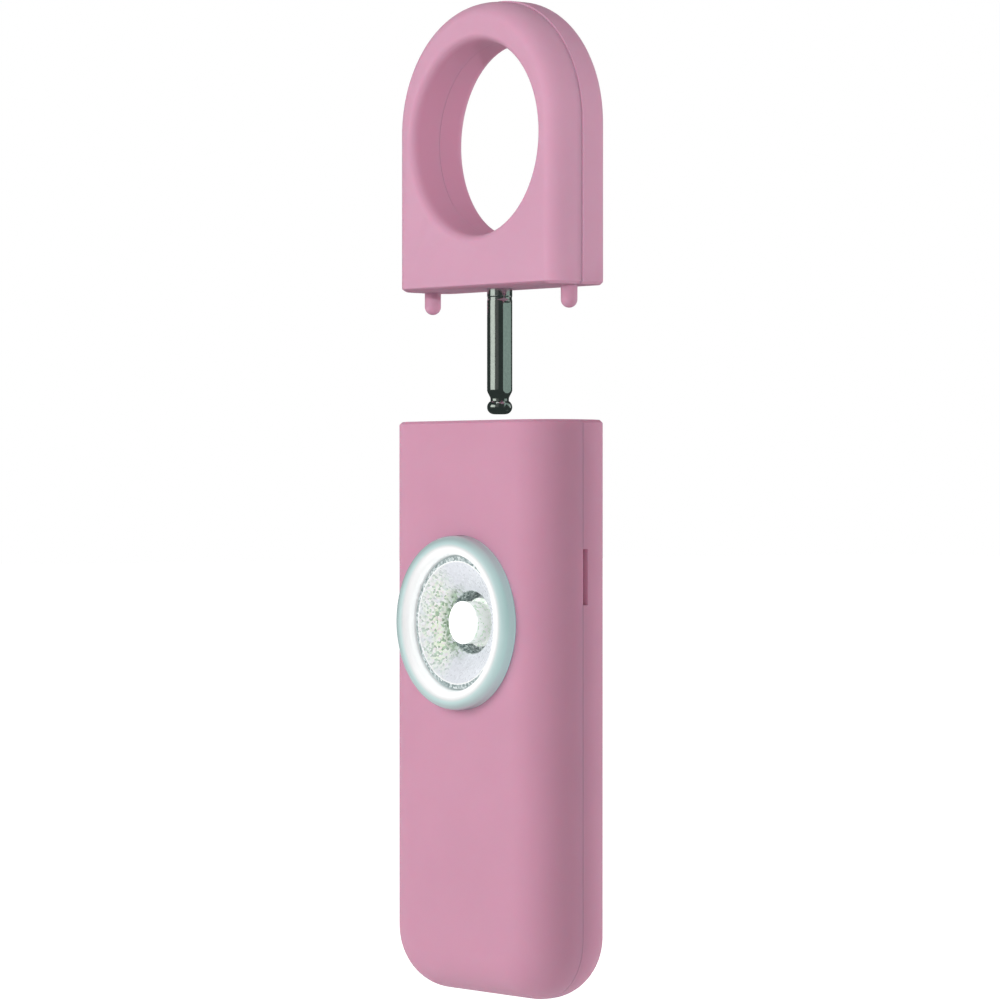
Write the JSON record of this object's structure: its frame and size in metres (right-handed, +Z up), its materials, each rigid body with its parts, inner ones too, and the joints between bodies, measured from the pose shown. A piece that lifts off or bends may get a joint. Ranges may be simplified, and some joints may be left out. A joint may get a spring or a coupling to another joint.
{
  "type": "personal safety alarm",
  "caption": "Key-ring personal alarm: rounded case with a ringed light, and a key loop whose steel pull pin starts the sounder when it is drawn out.",
  "frame": {"origin": "centre of the key loop's hole, half way through the loop's depth", "axes": "+Z up along the pull pin's axis, away from the case; -Y is the front with the light; +X is the right side with the pry slot"},
  "size_m": [0.0304, 0.0142, 0.1176],
  "materials": {
    "pink_plastic": "satin, fine moulded grain",
    "loop_plastic": "satin, fine moulded grain",
    "pin_steel": "polished",
    "opal_plastic": "pearl, glossy",
    "dish_plastic": "silvered, finely textured",
    "lamp_resin": "diffuse, lit",
    "guide_plastic": "natural acetal",
    "spring_wire": "drawn wire",
    "board_laminate": "green solder mask",
    "screw_steel": "zinc plated",
    "black_plastic": "moulded",
    "plunger_plastic": "moulded",
    "disc_brass": "plain",
    "lead_wire": "insulated wire",
    "gasket_rubber": "foam",
    "mesh_cloth": "woven",
    "cell_can": "plated can, satin",
    "contact_strip": "plated spring strip",
    "coil_copper": "enamelled winding",
    "chip_ceramic": "fired"
  },
  "bodies": {
    "pull_loop": {"loop_front": "loop_plastic", "loop_rear": "loop_plastic", "pull_pin": "pin_steel"},
    "alarm_body": {"front_shell": "pink_plastic", "pin_guide": "guide_plastic", "pin_clip": "spring_wire", "light_ring": "opal_plastic", "reflector": "dish_plastic", "lamp": "lamp_resin", "main_board": "board_laminate", "board_screws": "screw_steel", "switch_housing": "black_plastic", "buzzer_case": "black_plastic", "buzzer_lid": "black_plastic", "piezo_disc": "disc_brass", "buzzer_leads": "lead_wire", "coin_cell_front": "cell_can", "coin_cell_rear": "cell_can", "negative_contact": "contact_strip", "positive_contact": "contact_strip", "boost_coil": "coil_copper", "control_chip": "black_plastic", "small_parts": "chip_ceramic"},
    "rear_cover": {"rear_shell": "pink_plastic", "sound_mesh": "mesh_cloth", "buzzer_gasket": "gasket_rubber"},
    "plunger": {"switch_plunger": "plunger_plastic"}
  },
  "joints": [
    {"name": "pin_pull", "type": "slide", "parent": "pull_loop", "child": "alarm_body", "axis": [0, 0, 1], "range_m": [0, 0.01565]},
    {"name": "rear_cover_lift", "type": "slide", "parent": "alarm_body", "child": "rear_cover", "axis": [0, 1, 0], "range_m": [0, 0.02]},
    {"name": "plunger_press", "type": "slide", "parent": "alarm_body", "child": "plunger", "axis": [0, 0, -1], "range_m": [0, 0.0011]}
  ],
  "couplings": [
    {"joint": "plunger_press", "follows": "pin_pull", "ratio": 0.0702}
  ]
}
